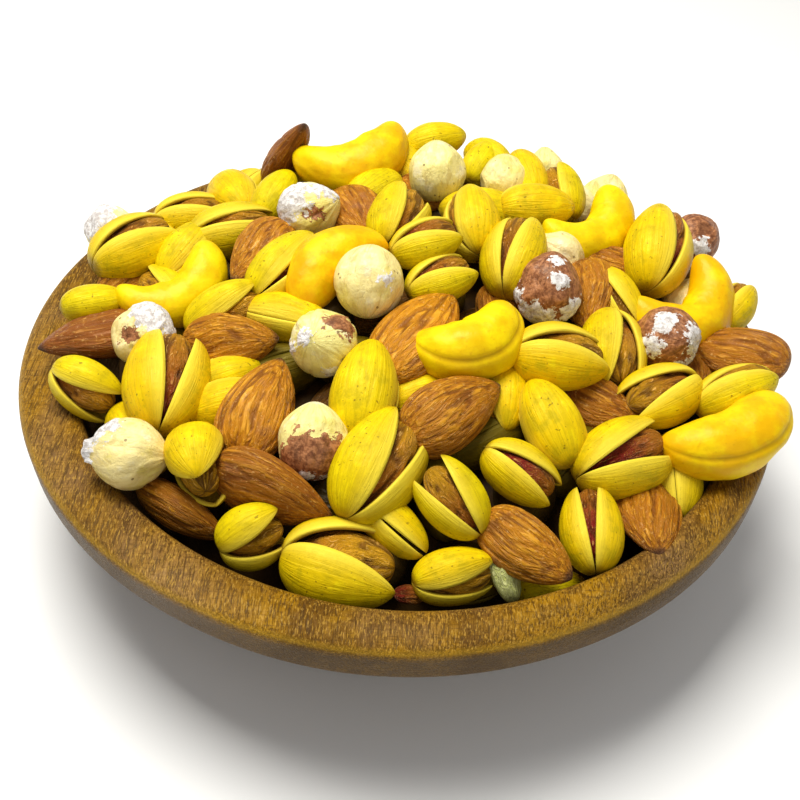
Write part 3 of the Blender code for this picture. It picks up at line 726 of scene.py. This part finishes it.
def make_kernels(rows, rings=36, around=46):
    """An egg in each open shell: y = b w(t) cos q, z = c w(t) sin q, with w the egg outline.

    It is crinkled: folds 0.12 exp(-(noise / 0.22)^2) of its width deep, where smooth noise is 0.
    """
    rows, start, end, length = nut_ends(rows)
    opened = np.radians(rows[:, 7])[:, None, None]
    number = own_number(41, len(rows))
    t = (1.0 - np.cos(np.linspace(0.0, math.pi, rings)))[None, :, None] / 2.0
    q = np.linspace(0.0, 2.0 * math.pi, around, endpoint=False)[None, None, :]
    folds = soft_noise(joined(2.4 * t + 30.0 * number, 3.6 * np.cos(q), 3.6 * np.sin(q) + 17.0 * number), 42)
    lumps = soft_noise(joined(3.0 * t + 30.0 * number, 1.4 * np.cos(q), 1.4 * np.sin(q) + 17.0 * number), 43)
    crease = np.exp(-(folds / 0.22) ** 2)
    swell = 1.05 + 0.12 * lumps - 0.12 * crease
    outline = egg_outline(t, 0.48, 0.46) * swell
    x = (t - 0.5) * length * 0.84 + 0.02 * length
    y = (0.145 + 0.165 * opened) * length * outline * np.cos(q)
    z = 0.235 * length * outline * np.sin(q) + 0.014 * length
    axes = nut_axes(start, end, rows[:, 6])
    points, triangles, lay = place_nuts(joined(x, y, z), (start + end) / 2.0, axes)
    grain = joined(np.cos(q) + 9.0 * number, np.sin(q), 1.6 * t + 13.0 * number)
    values = {"grain": lay(grain), "along": lay(t), "red": lay(rows[:, 8][:, None, None]),
              "crease": lay(crease)}
    return make_piece("pistachio_kernels", points, triangles, values)


def make_kernel_skin():
    """Gold to crimson, with dark creases and pale painted highlights on the ridges; green where the red is
    below 0.
    """
    material, tree, shader = new_material("kernel_skin", 0.40, 0.45, (1.0, 0.80, 0.50))
    lines, ridges = grain_lines(tree, 3.6, 6.0, 2.2)
    paler = times(tree, read(tree, "along"), 0.9)
    red = calculate(tree, "SUBTRACT", read(tree, "red"), paler)
    red = calculate(tree, "ADD", red, times(tree, lines, 0.25))
    tone = mix_color(tree, spread(tree, red, -0.35, 0.35), (0.66, 0.33, 0.010), (0.42, 0.135, 0.008))
    tone = mix_color(tree, spread(tree, red, 0.30, 0.72), tone, (0.27, 0.016, 0.012))
    crease = times(tree, spread(tree, ridges, 0.60, 0.15), 0.45)
    tone = mix_color(tree, crease, tone, (0.16, 0.045, 0.003))
    tone = wash(tree, tone, read(tree, "crease"), 0.2, 1.0, 0.75, (0.085, 0.020, 0.003))
    # painted highlight: pale gold laid on the highest ridges of the crinkled skin
    painted_highlight = times(tree, spread(tree, ridges, 1.0, 1.3), 0.55)
    tone = mix_color(tree, painted_highlight, tone, (0.86, 0.54, 0.14))
    green = spread(tree, read(tree, "red"), -0.1, -0.3)
    pale = mix_color(tree, lines, (0.74, 0.80, 0.20), (0.95, 0.97, 0.42))
    tone = mix_color(tree, green, tone, pale)
    tree.links.new(tone, shader.inputs["Base Color"])
    join_bump(tree, shader, ridges, 0.00035)
    return material


OPEN_PISTACHIOS = [row for row in PISTACHIOS if row[7] > 5]
pistachio_kernels = make_kernels(OPEN_PISTACHIOS + LOOSE_KERNELS)
pistachio_kernels.data.materials.append(make_kernel_skin())
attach(pistachio_kernels, "root")


# Cashews: kidney-shaped kernels, coated bright yellow. Each is two halves grown together, so a
# shallow groove follows the outside of the bend, with a narrow keel beyond it.
CASHEW_ORANGE = [.45, .15, 1.0, .05, .1, .6, .55]
CASHEW_GROOVE = [.2, .2, .35, 1.0, .2, .2, .9]


def make_cashews(rows, rings=90, around=72):
    """A round bar along a circular arc through both lobes, with
    radius r sqrt(1 - |u|^2.8) (1 + taper u) (1.06 - 0.13 u^2) for u from -1 to 1.

    The arc's radius is (c^2 + b^2) / 2b for half chord c and bulge b. The groove lowers the
    surface by exp(-(angle / 5 degrees)^2), 38 degrees from the outside of the bend to the face.
    """
    rows, start, end, length = nut_ends(rows)
    half = length / 2.0
    bulge, thickness, taper = (rows[:, i][:, None, None] for i in (7, 8, 9))
    number = own_number(51, len(rows))
    radius = thickness / 2.0
    arc = (half ** 2 + bulge ** 2) / (2.0 * bulge)
    u = -np.cos(np.linspace(0.0, math.pi, rings))[None, :, None]
    q = np.linspace(0.0, 2.0 * math.pi, around, endpoint=False)[None, None, :]
    full = np.sqrt(np.maximum(1.0 - np.abs(u) ** 2.8, 0.0)) * (1.0 + taper * u) * (1.06 - 0.13 * u * u)
    broad = soft_noise(joined(2.6 * u + 20.0 * number, 1.1 * np.cos(q), 1.1 * np.sin(q) + 9.0 * number), 52)
    small = soft_noise(joined(7.0 * u + 20.0 * number, 3.0 * np.cos(q), 3.0 * np.sin(q) + 9.0 * number), 53)
    outward = np.sign(bulge)
    away = (q - math.pi / 2.0 + outward * math.radians(52.0) + math.pi) % (2.0 * math.pi) - math.pi
    ends = (1.0 - u ** 6) * np.array(CASHEW_GROOVE)[:, None, None]
    groove = 0.34 * np.exp(-(away / math.radians(5.0)) ** 2) * ends
    keel = 0.16 * np.exp(-((outward * away + math.radians(14.0)) / math.radians(12.0)) ** 2) * ends
    girth = radius * full * (1.0 + 0.075 * broad + 0.026 * small) + (keel - groove) * full
    turned = u * (np.abs(arc) * np.arcsin(half / np.abs(arc)) + 0.95 * radius) / arc
    across = girth * np.cos(q)
    x = (arc + across) * np.sin(turned)
    y = bulge - arc + (arc + across) * np.cos(turned)
    z = 0.94 * girth * np.sin(q)
    axes = nut_axes(start, end, rows[:, 6])
    points, triangles, lay = place_nuts(joined(x, y, z), (start + end) / 2.0, axes)
    values = {"orange": lay(np.array(CASHEW_ORANGE)[:, None, None]), "groove": lay(groove)}
    return make_piece("cashews", points, triangles, values)


def make_cashew_finish():
    """Bright yellow with soft orange clouds, fine pits, and a darker groove."""
    material, tree, shader = new_material("saffron_cashew", 0.40, 0.34, (1.0, 0.86, 0.40))
    place = add_node(tree, "ShaderNodeTexCoord").outputs["Object"]
    cloud = clouds(tree, place, 150.0, 4.0, 0.6)
    fine = clouds(tree, place, 900.0, 3.0)
    tone = mix_color(tree, spread(tree, cloud, 0.36, 0.64), (0.78, 0.50, 0.001), (0.92, 0.68, 0.001))
    orange = times(tree, read(tree, "orange"), spread(tree, cloud, 0.62, 0.36, 0.35, 1.0))
    tone = mix_color(tree, orange, tone, (0.82, 0.38, 0.001))
    tone = wash(tree, tone, fine, 0.60, 0.74, 0.35, (0.55, 0.28, 0.002))
    tone = wash(tree, tone, read(tree, "groove"), 0.05, 0.30, 0.55, (0.42, 0.22, 0.001))
    tree.links.new(tone, shader.inputs["Base Color"])
    tree.links.new(spread(tree, cloud, 0.3, 0.7, 0.34, 0.48), shader.inputs["Roughness"])
    join_bump(tree, shader, fine, 0.00016, 0.6)
    return material


cashews = make_cashews(CASHEWS)
cashews.data.materials.append(make_cashew_finish())
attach(cashews, "root")


# Almonds: whole kernels in their brown skins, flat and drop-shaped. The skin is wrinkled along
# its length, with golden ribs between fine dark furrows, and dark where the nut was joined on.
def make_almonds(rows, rings=38, around=76):
    """A flat drop: y = width w(t) cos q, z = thickness w(t) sin q, furrowed along its length.

    w is the egg outline. Furrows run where smooth noise on the nut's cross-section, drawn out
    along it, is zero, and are 0.32 exp(-(noise / 0.17)^2) mm deep.
    """
    rows, start, end, length = nut_ends(rows)
    number = own_number(61, len(rows))
    t = (1.0 - np.cos(np.linspace(0.0, math.pi, rings)))[None, :, None] / 2.0
    q = np.linspace(0.0, 2.0 * math.pi, around, endpoint=False)[None, None, :]
    drop = egg_outline(t, 0.43, 0.64 + 0.18 * number)
    waver = 0.10 * np.sin(6.0 * t + 20.0 * number)
    across, upward = np.cos(q) * drop ** 0.5 + waver, np.sin(q) * drop ** 0.5
    furrows = soft_noise(joined(1.7 * t + 30.0 * number, 5.2 * across, 5.2 * upward + 9.0 * number), 62)
    lumps = soft_noise(joined(2.0 * t + 30.0 * number, 1.2 * np.cos(q), 1.2 * np.sin(q) + 5.0), 63)
    furrow = np.exp(-(furrows / 0.17) ** 2)
    outline = drop * (1.0 + 0.07 * lumps)
    relief = 0.10 - 0.32 * furrow * np.sin(math.pi * t) ** 0.4
    width = (0.285 + 0.03 * number) * length * outline + relief * drop
    depth = (0.160 + 0.02 * number) * length * outline + relief * drop
    x = (t - 0.5) * length
    y = width * np.cos(q)
    z = depth * np.sin(q)
    axes = nut_axes(start, end, rows[:, 6])
    points, triangles, lay = place_nuts(joined(x, y, z), (start + end) / 2.0, axes)
    grain = joined(across + 9.0 * number, upward, 0.5 * t + 13.0 * number)
    values = {"grain": lay(grain), "along": lay(t), "dark": lay(rows[:, 7][:, None, None]),
              "furrow": lay(furrow), "deep": lay(laid_depth(len(rows), LAID[1]))}
    return make_piece("almonds", points, triangles, values)


def make_almond_skin():
    """Orange brown, with golden ribs, dark furrows, purplish scuffed patches, small painted glints and one
    dark end.
    """
    material, tree, shader = new_material("almond_skin", 0.38, 0.42, (1.0, 0.80, 0.50))
    place = add_node(tree, "ShaderNodeTexCoord").outputs["Object"]
    lines, ridges = grain_lines(tree, 7.5, 5.0, 0.7)
    cloud = clouds(tree, place, 150.0, 5.0, 0.62)
    painted_glints = clouds(tree, place, 1500.0, 2.0)
    tone = mix_color(tree, read(tree, "dark"), (0.58, 0.225, 0.005), (0.26, 0.070, 0.008))
    lighter = spread(tree, read(tree, "dark"), 1.0, 0.0, 0.15, 0.50)
    golden = times(tree, spread(tree, lines, 0.60, 1.0), lighter)
    tone = mix_color(tree, golden, tone, (0.84, 0.42, 0.025))
    tone = wash(tree, tone, lines, 0.40, 0.0, 0.45, (0.24, 0.065, 0.002))
    tone = wash(tree, tone, read(tree, "furrow"), 0.25, 1.0, 0.75, (0.15, 0.036, 0.002))
    tone = wash(tree, tone, cloud, 0.57, 0.74, 0.55, (0.33, 0.130, 0.060))
    # painted highlights: small pale golden glints scattered over the skin
    tone = wash(tree, tone, painted_glints, 0.60, 0.74, 0.40, (0.86, 0.52, 0.16))
    scar = calculate(tree, "ADD", read(tree, "along"), times(tree, cloud, 0.12))
    tone = wash(tree, tone, scar, 0.98, 1.05, 0.85, (0.060, 0.025, 0.020))
    # painted shade: almonds of the second layer are darkened almost to black
    tone = stain(tree, tone, "deep", 0.8, (0.03, 0.012, 0.002))
    tree.links.new(tone, shader.inputs["Base Color"])
    tree.links.new(spread(tree, cloud, 0.3, 0.7, 0.32, 0.50), shader.inputs["Roughness"])
    join_bump(tree, shader, ridges, 0.00026)
    return material


almonds = make_almonds(ALMONDS)
almonds.data.materials.append(make_almond_skin())
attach(almonds, "root")


# Hazelnuts: round kernels with a blunt point. Most are blanched cream, some keep their brown
# skin in part, and several have a crust of white salt that stands up from the nut.
# Number of the nut, layer, direction from its middle (x, y, z), reach, and lift in millimetres.
HAZELNUT_PATCHES = [
    (0, "salt", (-0.9, -0.3, 0.6), .95, .35), (0, "skin", (0.0, -0.9, 0.5), .22, -.5),
    (0, "skin", (0.45, -0.8, 0.45), .26, -.5), (0, "salt", (0.5, 0.1, 0.9), .5, .2),
    (1, "salt", (-0.6, -0.2, 0.8), .9, .3),
    (2, "salt", (0.35, 0.2, 0.9), .80, .5), (2, "salt", (0.9, -0.1, 0.4), .42, .4),
    (2, "skin", (-0.25, -0.60, 0.62), .40, -.5),
    (3, "salt", (-0.75, 0.15, 0.75), .36, 1.6), (3, "salt", (-0.97, -0.15, 0.25), .34, 1.4),
    (3, "salt", (-0.55, 0.2, 0.85), .5, .3),
    (4, "skin", (0.1, -1.0, -0.3), 1.22, .25), (4, "salt", (-0.1, -0.95, -0.35), .26, .35),
    (4, "salt", (0.55, -0.85, -0.5), .2, .3),
    (5, "skin", (0.55, -0.05, 0.84), .50, .2), (5, "salt", (-0.95, -0.4, 0.1), .30, .25),
    (5, "salt", (0.35, -0.85, -0.35), .30, .25), (5, "salt", (-0.45, -0.55, 0.70), .26, .2),
    (6, "salt", (0.5, -0.6, 0.6), .22, .2),
    (8, "skin", (0.2, -0.5, 0.4), 1.6, .1), (8, "salt", (0.1, -0.9, 0.35), .42, .35),
    (9, "skin", (0.0, -0.7, 0.7), 1.8, .1), (9, "salt", (-0.3, -0.85, -0.55), .72, .35),
    (9, "salt", (0.75, -0.75, -0.15), .46, .35), (9, "salt", (-1.0, -0.25, 0.05), .40, .3),
    (9, "salt", (0.25, -0.55, 0.80), .27, .3), (9, "salt", (0.2, 0.1, 1.0), .25, .3),
    (10, "skin", (0.0, -0.7, 0.7), 1.8, .1), (10, "salt", (-0.15, -0.3, 0.95), .46, .4),
    (10, "salt", (0.75, -0.5, 0.45), .56, .4), (10, "salt", (0.35, -0.85, -0.35), .42, .35),
    (10, "salt", (-0.55, -0.75, 0.30), .34, .35)]


def hazelnut_patches(outward):
    """Skin, salt and lift over each nut.

    A patch's value is its reach less the distance from its middle, made ragged by noise, so that
    it is 0 at the patch's edge. Its lift rises smoothly over the first 0.12 of that, and over 0.55
    of the reach of a lump more than 1 mm high, which has fewer crumbs.
    """
    layers = {"skin": np.full(outward.shape[:2], -1.0), "salt": np.full(outward.shape[:2], -1.0)}
    lift = np.zeros(outward.shape[:2])
    for nut, layer, direction, reach, rise in HAZELNUT_PATCHES:
        towards = np.array(direction) / np.linalg.norm(direction)
        ragged = 0.20 * soft_noise(outward[nut] * 4.5 + 3.0 * nut, 74)
        ragged = ragged + 0.13 * soft_noise(outward[nut] * 11.0, 75)
        value = reach + ragged * min(2.5 * reach, 1.0) - np.linalg.norm(outward[nut] - towards, axis=-1)
        layers[layer][nut] = np.maximum(layers[layer][nut], value)
        share = np.clip(value / (0.12 if rise < 1.0 else 0.55 * reach), 0.0, 1.0)
        crumbs = 1.0 + (0.5 if rise < 1.0 else 0.15) * soft_noise(outward[nut] * 9.0, 76)
        lift[nut] = np.where(share > 0.0, rise * crumbs * share * share * (3.0 - 2.0 * share), lift[nut])
    return layers["skin"], layers["salt"], lift


def make_hazelnuts(rows, rings=44, around=70):
    """A ball drawn out to a small point, with shallow ribs from its base to the point.

    Flat places are where the ball is cut to 0.90 to 0.97 of its radius along random directions,
    and the salt and skin stand up from it by their lift.
    """
    rows = np.array(rows, float)
    center = rows[:, 0:3] + (0, 0, RIM_HEIGHT)
    radius = rows[:, 3][:, None, None] / 2.0
    heading, rise = np.radians(rows[:, 4]), np.radians(rows[:, 5])
    point = joined(np.cos(heading) * np.cos(rise), np.sin(heading) * np.cos(rise), np.sin(rise))
    number = own_number(71, len(rows))
    u = np.cos(np.linspace(math.pi, 0.0, rings))[None, :, None]
    ring = np.sqrt(np.maximum(1.0 - u * u, 0.0))
    q = np.linspace(0.0, 2.0 * math.pi, around, endpoint=False)[None, None, :]
    ribs = soft_noise(joined(0.8 * u + 30.0 * number, 2.6 * np.cos(q), 2.6 * np.sin(q)), 72)
    lumps = soft_noise(joined(
        1.5 * u + 30.0 * number, 1.5 * ring * np.cos(q), 1.5 * ring * np.sin(q) + 9.0 * number), 73)
    ball = joined(u + 0.0 * number, ring * np.cos(q), ring * np.sin(q))
    cuts = np.random.default_rng(77).normal(size=(len(rows), 9, 3))
    cuts /= np.linalg.norm(cuts, axis=-1, keepdims=True)
    flats = np.random.default_rng(78).uniform(0.90, 0.97, (len(rows), 1, 9))
    facing = np.einsum("nijk,nmk->nijm", ball, cuts)
    cut = np.min(flats[:, :, None, :] / np.maximum(facing, 0.5), -1)
    swell = np.minimum(1.0, 0.1 + 0.9 * cut) * (1.0 + 0.05 * lumps)
    swell = swell - 0.05 * np.exp(-(ribs / 0.12) ** 2) * ring
    reach = radius * swell
    x = u * reach * (1.0 + 0.14 * np.maximum(u, 0.0) ** 8)
    y, z = ring * reach * np.cos(q), ring * reach * np.sin(q)
    axes = nut_axes(center, center + point, np.zeros(len(rows)))
    points, triangles, lay = place_nuts(joined(x, y, z), center, axes)
    middle = center[:, None, :] * MM
    outward = (points - middle) / np.linalg.norm(points - middle, axis=-1, keepdims=True)
    skin, salt, lift = hazelnut_patches(outward)
    points = points + outward * lift[:, :, None] * MM
    grain = joined(np.cos(q) + 9.0 * number, np.sin(q), 0.5 * u + 13.0 * number)
    values = {"grain": lay(grain), "tone": lay(number), "skin": skin, "salt": salt,
              "deep": lay(laid_depth(len(rows), LAID[3]))}
    return make_piece("hazelnuts", points, triangles, values)


def make_hazelnut_finish():
    """Cream flesh with ribs and pits, torn brown skin, and a cracked white crust of salt."""
    material, tree, shader = new_material("hazelnut_finish", 0.45, 0.40, (1.0, 0.92, 0.75))
    place = add_node(tree, "ShaderNodeTexCoord").outputs["Object"]
    lines, ridges = grain_lines(tree, 3.6, 4.0, 0.8)
    cloud = clouds(tree, place, 190.0, 4.0, 0.6)
    crack = clouds(tree, place, 950.0, 3.0, 0.7)
    pits = add_node(tree, "ShaderNodeTexVoronoi", {}, {"Vector": place, "Scale": 330.0}).outputs["Distance"]
    tone = mix_color(tree, read(tree, "tone"), (0.90, 0.80, 0.28), (0.93, 0.74, 0.34))
    tone = wash(tree, tone, cloud, 0.50, 0.34, 0.6, (0.74, 0.62, 0.10))
    tone = wash(tree, tone, cloud, 0.55, 0.70, 0.7, (0.93, 0.86, 0.58))
    tone = wash(tree, tone, lines, 0.36, 0.0, 0.45, (0.52, 0.36, 0.09))
    tone = wash(tree, tone, pits, 0.13, 0.06, 0.8, (0.16, 0.09, 0.02))
    ragged = times(tree, calculate(tree, "SUBTRACT", crack, 0.5), 0.7)
    skin = spread(tree, calculate(tree, "ADD", read(tree, "skin"), ragged), -0.01, 0.03)
    brown = mix_color(tree, spread(tree, crack, 0.35, 0.65), (0.20, 0.066, 0.024), (0.50, 0.21, 0.085))
    brown = wash(tree, brown, lines, 0.4, 0.0, 0.5, (0.09, 0.028, 0.012))
    tone = mix_color(tree, skin, tone, brown)
    salt = spread(tree, calculate(tree, "ADD", read(tree, "salt"), ragged), 0.0, 0.05)
    white = mix_color(tree, spread(tree, crack, 0.35, 0.65), (0.50, 0.45, 0.42), (0.90, 0.88, 0.86))
    tone = mix_color(tree, salt, tone, white)
    # painted shade: hazelnuts of the second layer are darkened almost to black
    tone = mix_color(tree, read(tree, "deep"), tone, (0.05, 0.03, 0.006))
    tree.links.new(tone, shader.inputs["Base Color"])
    tree.links.new(spread(tree, salt, 0.0, 1.0, 0.42, 0.8), shader.inputs["Roughness"])
    height = calculate(tree, "ADD", times(tree, ridges, 0.4), crack)
    height = calculate(tree, "ADD", height, times(tree, skin, 0.4))
    join_bump(tree, shader, height, 0.00022)
    return material


hazelnuts = make_hazelnuts(HAZELNUTS)
hazelnuts.data.materials.append(make_hazelnut_finish())
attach(hazelnuts, "root")
